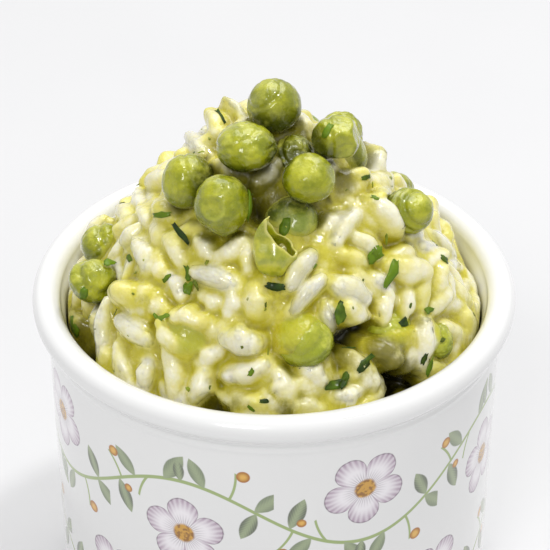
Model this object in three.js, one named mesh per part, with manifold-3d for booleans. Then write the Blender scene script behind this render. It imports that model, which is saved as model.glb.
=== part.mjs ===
// Pea risotto heaped in a straight-sided white pot with a rolled rim.
// Millimetres, +Z up, origin at the middle of the pot's foot, the served face towards -Y.
import * as THREE from 'three';
import Module from 'manifold-3d';
import { mergeVertices } from 'three/addons/utils/BufferGeometryUtils.js';

const wasm = await Module();
wasm.setup();

// ---- Driving dimensions ----

const pot = {
  height: 64, // foot to the top of the rim
  rimRadius: 37.7, // circle that the rolled rim runs round
  rimRoll: 2.3, // radius of the roll
  wallTop: 37.7, // outer radius under the rim
  wallFoot: 37.2, // outer radius above the foot
  bore: 34.6, // inner radius
  floor: 3.6, // height of the inner floor
  footCorner: 3, // rounding between wall and foot
  floorCorner: 3, // rounding inside, between wall and floor
  recessRadius: 30, // hollow under the foot
  recessDepth: 1,
  sides: 40,
};

const fit = 0.3; // gap between pieces that touch

const heap = {
  radius: pot.bore - fit,
  edge: 57.7, // height where it meets the wall
  rise: 26, // height of the dome above its edge, without its crown
  fullness: 2.1, // power of the dome's curve: 2 is a parabola, more is fuller
  rings: 8,
  sides: 26,
};

// Swellings and hollows that shape the dome.
const lumps = [
  { x: 0, y: 0, rise: 11.4, spread: 13.9 }, // crown
  { x: 0, y: 16, rise: -1, spread: 9 }, // steeper back
  { x: -27.6, y: 5.3, rise: 3, spread: 5.4 }, // left shoulder
  { x: -21.2, y: 5.8, rise: -2.3, spread: 4.2 },
  { x: 24, y: -9.9, rise: 4, spread: 5.7 }, // right shoulder
  { x: 26.2, y: 9.6, rise: 1.1, spread: 6.7 },
  { x: 16.5, y: 9.8, rise: -2.7, spread: 6 },
  { x: -19, y: -19, rise: 1.5, spread: 5 },
  { x: -5, y: -24, rise: 2.5, spread: 5 }, // ledge under the front peas
  { x: 7, y: -26, rise: 1.5, spread: 5 },
  { x: 3.5, y: -7.5, rise: -3.5, spread: 5 }, // hollow between the peas on top
  { x: 20.5, y: -25, rise: -6, spread: 4 }, // gap at the wall
  { x: -8, y: -31, rise: -3, spread: 4 }, // gap at the wall
];

// Each pea: its middle, its mean diameter, and its height for a width of one.
const peas = [
  { x: 0, y: -0.3, z: 96.9, size: 8.7, squash: 1.02 },
  { x: -4.3, y: -8.9, z: 94.7, size: 8.8, squash: 0.84 },
  { x: -13.4, y: -7.3, z: 87.3, size: 8.7, squash: 1.04 },
  { x: -7.9, y: -15.1, z: 88, size: 9.1, squash: 1.06 },
  { x: 5.4, y: -12.9, z: 91.4, size: 8.1, squash: 0.94 },
  { x: 9.7, y: -5.8, z: 94.4, size: 7.6, squash: 0.95 },
  { x: 11.2, y: 0.5, z: 87.2, size: 7.8, squash: 1 },
  { x: 11, y: 8.8, z: 86.4, size: 7.4, squash: 1 },
  { x: 2.9, y: -12.3, z: 83, size: 8.4, squash: 0.98 },
  { x: 3.2, y: -4.2, z: 89.9, size: 7.4, squash: 1 },
  { x: 21.4, y: -7.4, z: 81.9, size: 7.8, squash: 0.94 },
  { x: -29.2, y: -8.2, z: 69, size: 7.6, squash: 0.93 },
  { x: -28.2, y: 1.6, z: 69.3, size: 7.4, squash: 1 },
  { x: 4.7, y: -25.8, z: 69.9, size: 9, squash: 0.95 },
  { x: -13.6, y: -22.5, z: 68.1, size: 8, squash: 0.95 },
  { x: 25.3, y: -17.2, z: 63.4, size: 6.6, squash: 0.95 },
  { x: 18.1, y: -19.2, z: 66.5, size: 7.8, squash: 0.95 },
  { x: 4.5, y: 16, z: 81.6, size: 8.2, squash: 0.96 },
  { x: -4.8, y: 17.6, z: 81.5, size: 8.4, squash: 0.96 },
  { x: 1.8, y: 25.2, z: 73.1, size: 8.2, squash: 1 },
  { x: -12.5, y: 24, z: 71, size: 8, squash: 0.94 },
  { x: 11.4, y: 21.9, z: 72.9, size: 8.3, squash: 1.02 },
  { x: -19.2, y: 23.2, z: 65.6, size: 7.8, squash: 0.95 },
  { x: -5.5, y: 29, z: 66.6, size: 7.6, squash: 0.95 },
  { x: 20.5, y: 21, z: 67, size: 7.8, squash: 0.95 },
  { x: 12.9, y: 26.9, z: 65.8, size: 7.6, squash: 0.93 },
];

// A pea's skin that has split and stands open like a cup.
const skin = { x: 0.2, y: -20.3, z: 83, radius: 3.7, thickness: 0.8, narrow: 0.85, tall: 1.3, lean: 0.35, open: 2.1 };

const grain = { count: 300, length: 8, width: 3.5, proud: 0.14, blunt: 4, sides: 5, rings: 4, apart: 2.7 };
const leaf = { every: 13, length: 3.4, width: 2, thickness: 0.6, wave: 0.25 };

// ---- Helpers ----

// A closed geometry becomes a solid that can be joined and cut.
function toSolid(geometry) {
  const bare = geometry.clone();
  bare.deleteAttribute('normal');
  bare.deleteAttribute('uv');
  const merged = mergeVertices(bare, 1e-4);
  const corners = merged.index.array;
  const faces = [];
  for (let i = 0; i < corners.length; i += 3) {
    const [a, b, c] = corners.slice(i, i + 3);
    if (a !== b && b !== c && c !== a) faces.push(a, b, c);
  }
  const vertProperties = merged.attributes.position.array;
  return new wasm.Manifold(new wasm.Mesh({ numProp: 3, vertProperties, triVerts: new Uint32Array(faces) }));
}

function toGeometry(solid) {
  const mesh = solid.getMesh();
  const geometry = new THREE.BufferGeometry();
  geometry.setAttribute('position', new THREE.BufferAttribute(mesh.vertProperties, 3));
  geometry.setIndex(new THREE.BufferAttribute(mesh.triVerts, 1));
  geometry.computeVertexNormals();
  return geometry;
}

// A round solid from its profile of [radius, height], which runs from the axis below to the axis above.
function turned(profile, sides) {
  const points = profile.map(([radius, height]) => new THREE.Vector2(radius, height));
  return new THREE.LatheGeometry(points, sides).rotateX(Math.PI / 2);
}

// Points of an arc round [radius, height], from one angle to another, in degrees.
function arc(radius, height, size, from, to, steps) {
  const points = [];
  for (let i = 0; i <= steps; i++) {
    const angle = THREE.MathUtils.degToRad(from + ((to - from) * i) / steps);
    points.push([radius + size * Math.cos(angle), height + size * Math.sin(angle)]);
  }
  return points;
}

// A repeatable run of numbers from 0 to 1.
function dice(seed) {
  let state = seed;
  return () => {
    state = (state * 48271) % 2147483647;
    return state / 2147483647;
  };
}

// ---- The pot ----

function makePot() {
  const { height, rimRadius, rimRoll, wallFoot, bore, floor, footCorner, floorCorner } = pot;
  return turned(
    [
      [0, pot.recessDepth],
      [pot.recessRadius, pot.recessDepth],
      [pot.recessRadius + pot.recessDepth / 2, 0],
      ...arc(wallFoot - footCorner, footCorner, footCorner, -90, 0, 2),
      [pot.wallTop, height - 2 * rimRoll],
      ...arc(rimRadius, height - rimRoll, rimRoll, -45, 180, 5),
      [bore, height - 2.2 * rimRoll],
      ...arc(bore - floorCorner, floor + floorCorner, floorCorner, 0, -90, 2),
      [0, floor],
    ],
    pot.sides,
  );
}

// ---- The heap's bare core ----

function heapTop(x, y) {
  const reach = Math.hypot(x, y) / heap.radius;
  let z = heap.edge + heap.rise * (1 - Math.min(reach, 1.1) ** heap.fullness);
  for (const lump of lumps) {
    const away = (x - lump.x) ** 2 + (y - lump.y) ** 2;
    z += lump.rise * Math.exp(-away / (2 * lump.spread ** 2));
  }
  return z;
}

// The direction that the bare heap faces at a place.
function heapFacing(x, y) {
  const step = 0.5;
  const slopeX = (heapTop(x + step, y) - heapTop(x - step, y)) / (2 * step);
  const slopeY = (heapTop(x, y + step) - heapTop(x, y - step)) / (2 * step);
  return new THREE.Vector3(-slopeX, -slopeY, 1).normalize();
}

// The core fills the pot from its floor, and its top follows heapTop.
function makeCore() {
  const { radius, edge, rings } = heap;
  const { floorCorner } = pot;
  const bottom = pot.floor + fit;
  const profile = [[0, bottom], ...arc(radius - floorCorner, bottom + floorCorner, floorCorner, -90, 0, 2)];
  for (let i = 0; i <= rings; i++) profile.push([radius * (1 - (i / rings) ** 1.15), edge]);
  const core = turned(profile, heap.sides);
  const place = core.attributes.position;
  for (let i = 0; i < place.count; i++) {
    if (place.getZ(i) > edge - 0.01) place.setZ(i, heapTop(place.getX(i), place.getY(i)));
  }
  return toSolid(core);
}

// ---- Peas ----

function peaShape({ x, y, z, size, squash }, sides, rings, grow = 0) {
  const radius = size / 2 + grow;
  const wide = radius / Math.sqrt(squash);
  return new THREE.SphereGeometry(1, sides, rings).rotateX(Math.PI / 2).scale(wide, wide, radius * squash)
    .translate(x, y, z);
}

// A swelling of the core that reaches up under a pea, so that its socket has a rim all round.
function bedShape({ x, y, z, size }) {
  const radius = size * 0.42;
  return new THREE.SphereGeometry(radius, 7, 4).rotateX(Math.PI / 2).translate(x, y, z - size * 0.36);
}

// The split skin is a cup: two arcs round one centre, closed by the torn edge, pinched and leaned forward.
function skinShape() {
  const { radius, thickness, open } = skin;
  const degrees = THREE.MathUtils.radToDeg(open) - 90;
  const outside = arc(0, 0, radius, -90, degrees, 5).slice(1);
  const inside = arc(0, 0, radius - thickness, degrees - 8, -90, 4).slice(0, -1);
  const profile = [[0, -radius], ...outside, ...inside, [0, thickness - radius]];
  return turned(profile, 10).scale(skin.narrow, 1, skin.tall).rotateX(skin.lean).rotateY(-skin.lean)
    .translate(skin.x, skin.y, skin.z);
}

// ---- Grains of rice and parsley ----

// Places spread evenly over the dome's area, turned by the golden angle from one to the next.
function spreadPlaces(count) {
  const steps = 400;
  const slices = [0];
  for (let i = 0; i < steps; i++) {
    const near = (heap.radius * i) / steps;
    const far = (heap.radius * (i + 1)) / steps;
    const fall = heapTop(near, 0) - heapTop(far, 0);
    slices.push(slices[i] + (near + far) * Math.hypot(far - near, fall));
  }
  const golden = Math.PI * (3 - Math.sqrt(5));
  const places = [];
  for (let i = 0; i < count; i++) {
    const share = (slices[steps] * (i + 0.5)) / count;
    const slice = slices.findIndex((area) => area >= share);
    const radius = (heap.radius * slice) / steps;
    places.push([radius * Math.cos(i * golden), radius * Math.sin(i * golden)]);
  }
  return places;
}

// A grain lies along the heap: its middle, the way it points, its facing, length and width.
function layGrain(x, y, bearing, tilt, length, width) {
  const facing = heapFacing(x, y);
  const along = new THREE.Vector3(Math.cos(bearing), Math.sin(bearing), 0).projectOnPlane(facing).normalize();
  along.addScaledVector(facing, tilt).normalize();
  const middle = new THREE.Vector3(x, y, heapTop(x, y)).addScaledVector(facing, width * grain.proud);
  return { middle, along, facing, length, width };
}

// Whether a grain keeps clear of every pea, the split skin and the pot.
function grainFits({ middle, along, length, width }) {
  const clear = width / 2 + fit + 0.1;
  const core = new THREE.Line3(
    middle.clone().addScaledVector(along, (width - length) / 2),
    middle.clone().addScaledVector(along, (length - width) / 2),
  );
  const near = new THREE.Vector3();
  const hits = (x, y, z, radius) => {
    const centre = new THREE.Vector3(x, y, z);
    core.closestPointToPoint(centre, true, near);
    return near.distanceTo(centre) < radius + clear;
  };
  if (peas.some((pea) => hits(pea.x, pea.y, pea.z, (pea.size / 2) * 1.06))) return false;
  if (hits(skin.x, skin.y, skin.z, skin.radius * 1.3)) return false;
  return [core.start, core.end].every((end) => {
    const beside = end.z - clear < pot.height + fit;
    return !beside || Math.hypot(end.x, end.y) + width / 2 < heap.radius;
  });
}

// Whether a grain would lie through one that is laid already.
function crowds(one, other) {
  if (one.middle.distanceTo(other.middle) > grain.length) return false;
  const spots = ({ middle, along, length }) => (
    [-0.35, 0, 0.35].map((share) => middle.clone().addScaledVector(along, share * length))
  );
  return spots(one).some((a) => spots(other).some((b) => a.distanceTo(b) < grain.apart));
}

// Each place takes a grain; one that would cross a neighbour is turned, then shortened, then left out.
function layGrains() {
  const random = dice(4711);
  const laid = [];
  for (const [x, y] of spreadPlaces(grain.count)) {
    const bearing = random() * Math.PI * 2;
    const tilt = (random() - 0.35) * 0.7;
    const length = grain.length * (0.88 + 0.24 * random());
    const width = grain.width * (0.9 + 0.2 * random());
    const turns = [0, 1, 2, 3, 4, 5].map((step) => (step * Math.PI) / 6);
    const tries = [1, 0.8].flatMap((short) => turns.map((turn) => [short, turn]));
    const grains = tries.map(([short, turn]) => layGrain(x, y, bearing + turn, tilt, length * short, width));
    const fitting = grains.find((one) => grainFits(one) && !laid.some((other) => crowds(one, other)));
    if (fitting) laid.push(fitting);
  }
  return laid;
}

// A geometry made along +Y and facing +Z is turned and moved to where a grain lies.
function placeOn(geometry, { middle, along, facing }, lift) {
  const side = new THREE.Vector3().crossVectors(along, facing).normalize();
  const face = new THREE.Vector3().crossVectors(side, along);
  const centre = middle.clone().addScaledVector(face, lift);
  return geometry.applyMatrix4(new THREE.Matrix4().makeBasis(side, along, face).setPosition(centre));
}

// A grain is a ball drawn out lengthwise, whose girth keeps full almost to its blunt ends.
function grainShape(place) {
  const { length, width } = place;
  const shape = new THREE.SphereGeometry(1, grain.sides, grain.rings);
  const points = shape.attributes.position;
  for (let i = 0; i < points.count; i++) {
    const [x, y, z] = [points.getX(i), points.getY(i), points.getZ(i)];
    const girth = Math.hypot(x, z);
    const fuller = girth > 1e-6 ? Math.sqrt(1 - Math.abs(y) ** grain.blunt) / girth : 0;
    points.setXYZ(i, (x * fuller * width) / 2, (y * length) / 2, (z * fuller * width) / 2);
  }
  return placeOn(shape, place, 0);
}

// A chopped leaf of parsley: a thin sheet that waves along its length, lying on a grain.
function leafShape(place) {
  const sheet = new THREE.BoxGeometry(leaf.width, leaf.length, leaf.thickness, 1, 3, 1);
  const points = sheet.attributes.position;
  for (let i = 0; i < points.count; i++) {
    points.setZ(i, points.getZ(i) + leaf.wave * Math.sin(points.getY(i) * 2));
  }
  return placeOn(sheet, place, place.width / 2);
}

// ---- The heap: core, less the peas' sockets, with grains and parsley fused on ----

function makeRisotto() {
  const grains = layGrains();
  const sockets = peas.map((pea) => toSolid(peaShape(pea, 8, 6, fit + 0.15)));
  const { x, y, z, radius } = skin;
  sockets.push(toSolid(peaShape({ x, y, z, size: 2 * radius * 1.2, squash: 1.2 }, 8, 6, fit + 0.1)));
  const beds = peas.map((pea) => toSolid(bedShape(pea)));
  const bare = makeCore().add(wasm.Manifold.union(beds)).subtract(wasm.Manifold.union(sockets));
  const leaves = grains.filter((_, i) => i % leaf.every === 0).map(leafShape);
  const toppings = [...grains.map(grainShape), ...leaves].map(toSolid);
  const joined = bare.add(wasm.Manifold.union(toppings));
  const bodies = joined.decompose().sort((a, b) => b.volume() - a.volume());
  return toGeometry(bodies[0]);
}

// ---- The whole ----

const glaze = new THREE.MeshStandardMaterial({ color: 0xf4f3f0, roughness: 0.18, metalness: 0 });
const rice = new THREE.MeshStandardMaterial({ color: 0xe6e0a8, roughness: 0.4, metalness: 0 });
const green = new THREE.MeshStandardMaterial({ color: 0x8fa02c, roughness: 0.35, metalness: 0 });
const paleGreen = new THREE.MeshStandardMaterial({ color: 0xa9b748, roughness: 0.35, metalness: 0 });

const dish = new THREE.Group();

function addPiece(name, geometry, material) {
  const mesh = new THREE.Mesh(geometry, material);
  mesh.name = name;
  dish.add(mesh);
}

addPiece('pot', makePot(), glaze);
addPiece('risotto', makeRisotto(), rice);
peas.forEach((pea, i) => {
  addPiece(`pea_${String(i + 1).padStart(2, '0')}`, peaShape(pea, 8, 6), green.clone());
});
addPiece('split_skin', skinShape(), paleGreen);

export default dish;
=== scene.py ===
# Pea risotto heaped in a straight-sided white pot: the looks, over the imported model.
# Lengths are millimetres, in the model's own frame, and turn into metres as a mesh is made.
import math

import bpy
import numpy as np
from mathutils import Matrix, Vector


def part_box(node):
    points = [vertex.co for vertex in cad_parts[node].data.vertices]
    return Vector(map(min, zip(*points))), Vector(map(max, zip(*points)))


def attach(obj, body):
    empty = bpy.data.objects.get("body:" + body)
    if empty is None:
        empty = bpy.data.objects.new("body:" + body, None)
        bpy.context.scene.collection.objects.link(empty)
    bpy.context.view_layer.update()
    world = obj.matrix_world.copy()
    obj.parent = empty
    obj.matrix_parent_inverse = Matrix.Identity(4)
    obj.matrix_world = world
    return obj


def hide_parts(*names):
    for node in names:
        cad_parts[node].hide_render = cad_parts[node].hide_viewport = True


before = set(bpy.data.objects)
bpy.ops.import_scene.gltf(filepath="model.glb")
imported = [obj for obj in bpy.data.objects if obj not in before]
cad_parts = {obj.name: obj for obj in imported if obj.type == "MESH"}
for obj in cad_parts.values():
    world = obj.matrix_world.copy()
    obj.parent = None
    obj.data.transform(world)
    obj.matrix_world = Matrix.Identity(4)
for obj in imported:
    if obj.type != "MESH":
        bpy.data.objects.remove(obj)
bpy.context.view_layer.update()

MM = 0.001

# ---- The pot and the bare heap, as the solids have them ----

POT_HEIGHT = 64.0
RIM_RADIUS = 37.7  # circle that the rolled rim runs round
RIM_ROLL = 2.3  # radius of the roll
WALL_TOP = 37.7
WALL_FOOT = 37.2
BORE = 34.6
FLOOR = 3.6
CORNER = 3.0
RECESS_RADIUS = 30.0
RECESS_DEPTH = 1.0
WALL_RISE = 53.2  # the even part of the wall, above the foot's corner
POT_COLUMNS = 288

HEAP_RADIUS = 34.3
HEAP_EDGE = 57.7
HEAP_RISE = 26.0
HEAP_FULLNESS = 2.1
LUMPS = [  # x, y, rise, spread
    (0, 0, 11.4, 13.9), (0, 16, -1, 9), (-27.6, 5.3, 3, 5.4), (-21.2, 5.8, -2.3, 4.2), (24, -9.9, 4, 5.7),
    (26.2, 9.6, 1.1, 6.7), (16.5, 9.8, -2.7, 6), (-19, -19, 1.5, 5), (-5, -24, 2.5, 5), (7, -26, 1.5, 5),
    (3.5, -7.5, -3.5, 5), (20.5, -25, -6, 4), (-8, -31, -3, 4),
]

# Grains of rice, in mm: the strewn ones' lengths and widths, and the limits of the placed ones' lengths.
GRAIN_LENGTHS = (6.2, 9.0)
GRAIN_WIDTHS = (2.7, 3.7)
PLACED_LENGTHS = (5.6, 9.8)
STREWN_LAYERS = [(520, -1.3, -0.4, 1.9), (420, -0.2, 0.6, 2.15)]  # count, lowest and highest lift, least gap
STREWN_TURNS = 7  # how often a grain that doesn't fit is turned before it is left out
STREWN_TURN = 0.45
THIRDS = np.array([[-0.34], [0], [0.34]])  # three spots along a grain, in lengths from its middle
TIP_DRAWN = 0.75  # a grain's tip is as long as its own radius over this
END_SLIMMING = 0.22  # how much slimmer a grain is at its ends than in its middle
MOST_PROUD = 1.3  # how far a placed grain may stand above its lift
MOST_BOW = 0.5
TILT = 0.34  # spread of the strewn grains' slopes
CLUMP_RISE = 0.85  # how far they rise or sink where they clump
OFF_PEAS = 0.36  # how far their middle lines stay from a pea's skin, in their own widths
OFF_SKIN = 4.2  # least distance from the middle of the split skin
NEARBY = 10  # grains further off than this aren't compared
DEEP_HOLLOW = 2.1  # strewn grains stay out of hollows that are deeper than this
HOLLOW_MARGIN = 1.6  # and this far from their reach

# Nearly the direction from the heap to the view.
TO_VIEW = np.array([0, -0.6, 0.8])

# The cream's skin: its rings, how deep and high it is searched for, and how softly its parts join, in mm.
CREAM_RINGS = 157
CREAM_SKIRT = 5  # of them inside the pot
SEARCH = (-6.4, 4.8, 54)  # lowest and highest layer, and how many there are
BLUR = 0.26
UNDERFILL = 0.22  # how much the sauce widens under a grain

# ---- The view: a long lens that looks down on the served face ----

VIEW_WIDTH = 550.0  # the frame is this many steps square
VIEW_FOCUS = 2300.0  # focal length in the same steps
VIEW_PLACE = np.array([0.18, -314.1, 279.8])
VIEW_PITCH = math.radians(34.43)  # how far it looks down

# Grains that are seen one by one. Both tips in the frame, then width and lift above the bare heap in mm,
# and how yellow the sauce on it is, from 0 to 1.
SEEN_GRAINS = [
    (365, 195, 402, 229, 3.7, 1.3, 0.3), (358, 209, 331, 248, 3.4, 0.3, 0.2),
    (350, 232, 381, 260, 3.4, 0.4, 0.1), (334, 196, 363, 186, 2.9, -0.1, 0.6),
    (428, 232, 451, 257, 3.1, 0.0, 0.1), (404, 238, 420, 231, 2.7, -0.6, 0.3),
    (444, 268, 473, 266, 2.6, 0.1, 0.1), (386, 266, 428, 272, 4.1, 1.0, 0.75),
    (285, 292, 315, 250, 3.6, 1.3, 0.15), (290, 316, 325, 275, 3.2, 1.2, 0.15),
    (385, 149, 370, 171, 3.5, 0.0, 0.2), (368, 186, 390, 178, 3.3, -0.2, 0.7),
    (396, 176, 402, 196, 2.2, -0.3, 0.4), (184, 129, 210, 162, 3.3, 0.7, 0.1),
    (208, 110, 221, 139, 3.0, 0.1, 0.7), (222, 96, 243, 116, 1.6, 0.5, 0.3),
    (226, 122, 246, 112, 2.3, -0.1, 0.1), (144, 184, 162, 172, 3.1, -0.1, 0.6),
    (140, 188, 143, 212, 2.8, 0.0, 0.2), (152, 188, 158, 212, 2.7, -0.4, 0.6),
    (120, 206, 133, 228, 3.5, 0.1, 0.5), (85, 238, 107, 218, 3.0, 0.2, 0.1),
    (145, 222, 124, 246, 3.7, 0.4, 0.1), (134, 240, 154, 270, 3.7, 0.6, 0.15),
    (166, 234, 186, 264, 3.6, 0.2, 0.45), (196, 236, 217, 263, 3.4, 0.0, 0.35),
    (214, 262, 246, 238, 3.0, 0.1, 0.4), (190, 270, 240, 286, 4.0, 0.3, 0.15),
    (248, 244, 249, 274, 2.5, -0.5, 0.7), (281, 160, 254, 186, 3.0, 0.2, 0.35),
    (109, 294, 102, 350, 3.6, 0.7, 0.05), (117, 318, 154, 344, 3.7, 0.6, 0.05),
    (124, 303, 146, 311, 2.2, 0.4, 0.1), (117, 340, 127, 380, 3.1, 0.4, 0.2),
    (150, 362, 143, 386, 3.5, 0.2, 0.1), (169, 343, 175, 399, 3.3, 0.2, 0.35),
    (207, 366, 191, 406, 3.8, 0.5, 0.2), (217, 352, 201, 363, 2.9, -0.1, 0.3),
    (216, 336, 262, 345, 5.0, 0.8, 0.02), (255, 280, 257, 318, 4.4, 0.4, 0.55),
    (234, 289, 230, 315, 2.9, -0.2, 0.3), (221, 377, 272, 362, 3.8, 0.3, 0.25),
    (276, 366, 290, 399, 3.8, 0.4, 0.3), (222, 396, 243, 411, 2.5, -1.1, 0.5),
    (245, 413, 266, 413, 2.3, -0.7, 0.6), (262, 390, 285, 411, 2.6, -0.7, 0.4),
    (154, 293, 171, 318, 2.9, -0.3, 0.65), (171, 277, 181, 295, 2.6, -0.2, 0.2),
    (330, 281, 372, 303, 4.4, 1.0, 0.05), (324, 301, 331, 330, 3.2, 0.0, 0.15),
    (391, 290, 382, 324, 2.6, 0.9, 0.35), (409, 293, 403, 320, 2.6, 0.9, 0.3),
    (424, 275, 420, 313, 3.0, 0.7, 0.45), (424, 316, 418, 374, 4.4, 1.0, 0.2),
    (411, 334, 405, 372, 3.2, 0.9, 0.5), (430, 299, 477, 322, 3.7, 0.1, 0.2),
    (440, 326, 472, 345, 3.4, -0.2, 0.8), (439, 263, 449, 300, 3.1, -0.1, 0.2),
    (300, 365, 326, 383, 3.4, 0.1, 0.2), (333, 397, 362, 389, 3.1, -0.1, 0.2),
    (358, 382, 382, 381, 3.6, 0.0, 0.3), (290, 402, 326, 410, 3.1, -0.3, 0.4),
    (158, 320, 176, 346, 2.6, 1.8, 0.6), (172, 316, 200, 322, 2.6, 1.8, 0.7),
    (196, 316, 214, 330, 2.9, -0.6, 0.6), (68, 302, 80, 326, 2.8, -0.5, 0.9),
    (378, 347, 398, 362, 2.9, 2.0, 0.9), (346, 352, 366, 372, 3.2, -0.4, 0.9),
    (348, 376, 372, 368, 3.0, -0.3, 0.8), (140, 268, 158, 290, 3.1, -0.6, 0.7),
    (205, 296, 226, 304, 3.0, -0.7, 0.6), (340, 215, 322, 232, 3.1, -0.7, 0.6),
]

# Places where the heap opens or the sauce lies deeper: place in the frame, reach and depth in mm.
HOLLOWS = [
    (394, 374, 3.0, 5.5), (408, 380, 3.2, 5.5), (285, 412, 2.0, 2.5), (212, 407, 3.0, 2.5),
    (233, 404, 2.4, 2.0), (148, 308, 1.4, 2.2), (88, 336, 2.4, 2.4), (84, 350, 2.4, 1.8),
    (346, 341, 2.0, 2.8), (300, 352, 1.8, 1.0), (257, 210, 1.5, 3.1), (287, 205, 2.0, 1.5),
    (425, 322, 1.8, 1.4), (466, 283, 1.6, 2.0), (385, 240, 2.0, 1.4), (260, 352, 2.2, 1.2),
    (130, 386, 2.0, 1.4), (370, 332, 2.2, 2.6), (421, 378, 2.4, 5.0), (398, 392, 2.6, 4.5),
    (366, 262, 2.2, 1.4), (352, 367, 2.4, 2.2), (80, 318, 2.4, 2.6), (374, 352, 2.4, 2.4),
    (271, 351, 1.8, 1.4), (250, 250, 2.0, 1.6), (225, 358, 1.5, 1.2), (338, 188, 1.6, 2.0),
]

# Places where the sauce is dark and olive, partly its own colour and partly painted shade: place in the
# frame, reach in mm, and how dark. From about 1 on, the middle is dark throughout.
DARK_SAUCE_AND_SHADE = [
    (342, 342, 1.8, 1.2), (352, 362, 2.8, 0.8), (366, 376, 2.4, 0.7), (342, 380, 2.0, 0.6),
    (371, 328, 1.2, 1.2), (386, 353, 2.2, 1.2), (400, 348, 1.4, 0.9), (374, 344, 1.6, 1.0),
    (398, 370, 2.6, 1.3), (362, 267, 1.8, 0.5), (84, 322, 2.2, 0.5), (90, 340, 1.8, 0.5),
    (258, 304, 1.0, 0.3), (196, 352, 1.4, 0.4), (140, 300, 1.2, 0.5), (262, 199, 2.4, 1.3),
    (343, 183, 1.8, 1.3), (282, 148, 1.4, 1.0), (148, 306, 1.3, 0.6), (86, 332, 2.2, 0.9),
    (212, 407, 1.6, 0.9), (285, 411, 1.6, 0.9), (395, 241, 1.2, 0.5), (421, 322, 1.4, 0.6),
    (234, 403, 1.5, 0.7), (326, 208, 1.6, 0.6), (120, 380, 1.3, 0.5), (180, 395, 1.2, 0.5),
    (290, 352, 1.4, 0.4), (72, 310, 1.6, 0.7), (305, 398, 1.4, 0.6),
]

# Chopped parsley that is seen: place in the frame, length and width in mm, turn in degrees, curl.
SEEN_LEAVES = [
    (160, 215, 3.4, 0.9, 5, 0.9), (180, 232, 4.2, 0.9, -48, 0.8), (128, 257, 1.8, 0.9, -60, 0.3),
    (163, 318, 2.2, 0.9, -40, 0.4), (152, 330, 1.5, 0.7, -50, 0.2), (187, 288, 1.7, 1.6, 80, 0.5),
    (187, 272, 2.4, 0.8, -70, 0.4), (165, 277, 1.7, 0.7, 35, 0.3), (304, 249, 1.9, 1.7, 80, 0.2),
    (275, 286, 2.6, 1.2, -20, 0.5), (340, 313, 2.6, 1.3, -75, 0.4), (339, 306, 1.6, 0.9, 70, 0.3),
    (375, 257, 2.6, 2.2, 20, 0.4), (379, 251, 1.8, 1.5, 60, 0.5), (387, 276, 4.0, 1.3, 98, 0.4),
    (447, 259, 2.0, 1.2, 0, 0.4), (405, 323, 1.5, 1.4, 30, 0.2), (366, 364, 3.4, 1.5, 50, 0.3),
    (334, 384, 3.4, 1.5, 20, 0.3), (344, 379, 2.0, 1.2, 70, 0.3), (424, 360, 2.0, 0.8, 70, 0.3),
    (431, 367, 3.0, 0.9, 75, 0.4), (347, 328, 1.8, 0.9, 10, 0.3), (367, 178, 1.7, 0.8, 5, 0.3),
    (326, 128, 2.2, 1.2, 60, 0.5), (252, 206, 4.2, 1.5, 88, 0.4), (283, 226, 2.6, 1.6, 75, 0.3),
    (72, 326, 3.4, 2.0, -55, 0.4), (221, 114, 3.2, 0.6, -62, 0.2), (412, 304, 0.9, 0.4, 70, 0.2),
    (429, 310, 1.6, 1.1, -30, 0.3), (116, 267, 1.6, 0.9, 80, 0.3), (83, 296, 2.4, 1.4, 80, 0.4),
    (376, 196, 1.2, 0.7, -20, 0.2), (265, 400, 1.4, 0.7, 0, 0.2), (250, 409, 1.3, 0.6, -30, 0.2),
    (252, 372, 1.3, 0.8, 60, 0.2),
]

# ---- Meshes from whole arrays ----


def add_mark(piece, mark, values):
    """A named value for each point, which materials read."""
    data = piece.data.attributes.new(mark, "FLOAT", "POINT").data
    data.foreach_set("value", np.asarray(values, np.float32))


def add_mesh(name, points, quads, triangles=(), marks=None):
    """A smooth mesh object in metres from points in mm, its faces, and its named values per point."""
    faces = [np.asarray(quads, np.int32).reshape(-1, 4), np.asarray(triangles, np.int32).reshape(-1, 3)]
    corners = np.concatenate([block.ravel() for block in faces])
    sizes = np.repeat([4, 3], [len(block) for block in faces])
    mesh = bpy.data.meshes.new(name)
    mesh.vertices.add(len(points))
    mesh.vertices.foreach_set("co", (points * MM).astype(np.float32).ravel())
    mesh.loops.add(len(corners))
    mesh.loops.foreach_set("vertex_index", corners)
    mesh.polygons.add(len(sizes))
    mesh.polygons.foreach_set("loop_start", (np.cumsum(sizes) - sizes).astype(np.int32))
    mesh.update(calc_edges=True)
    mesh.polygons.foreach_set("use_smooth", np.ones(len(sizes), bool))
    piece = bpy.data.objects.new(name, mesh)
    for mark, values in (marks or {}).items():
        add_mark(piece, mark, values)
    bpy.context.scene.collection.objects.link(piece)
    return piece


def ball_faces(rings, columns):
    """Faces of a closed skin whose points are one pole, then rings of columns points each, then a pole."""
    ring, column = np.meshgrid(np.arange(rings - 1), np.arange(columns), indexing="ij")
    here, beside = 1 + ring * columns + column, 1 + ring * columns + (column + 1) % columns
    quads = np.stack([here, beside, beside + columns, here + columns], -1).reshape(-1, 4)
    column = np.arange(columns)
    beside = (column + 1) % columns
    last = 1 + (rings - 1) * columns
    first_fan = np.stack([np.zeros(columns, int), 1 + beside, 1 + column], -1)
    last_fan = np.stack([np.full(columns, last + columns), last + column, last + beside], -1)
    return quads, np.concatenate([first_fan, last_fan])


def sheet_faces(rows, columns):
    """Faces of a grid of points, and the points round its edge in order."""
    index = np.arange(rows * columns).reshape(rows, columns)
    quads = np.stack([index[:-1, :-1], index[1:, :-1], index[1:, 1:], index[:-1, 1:]], -1)
    edge = [index[:-1, 0], index[-1, :-1], index[:0:-1, -1], index[0, :0:-1]]
    return quads.reshape(-1, 4), np.concatenate(edge)


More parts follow.
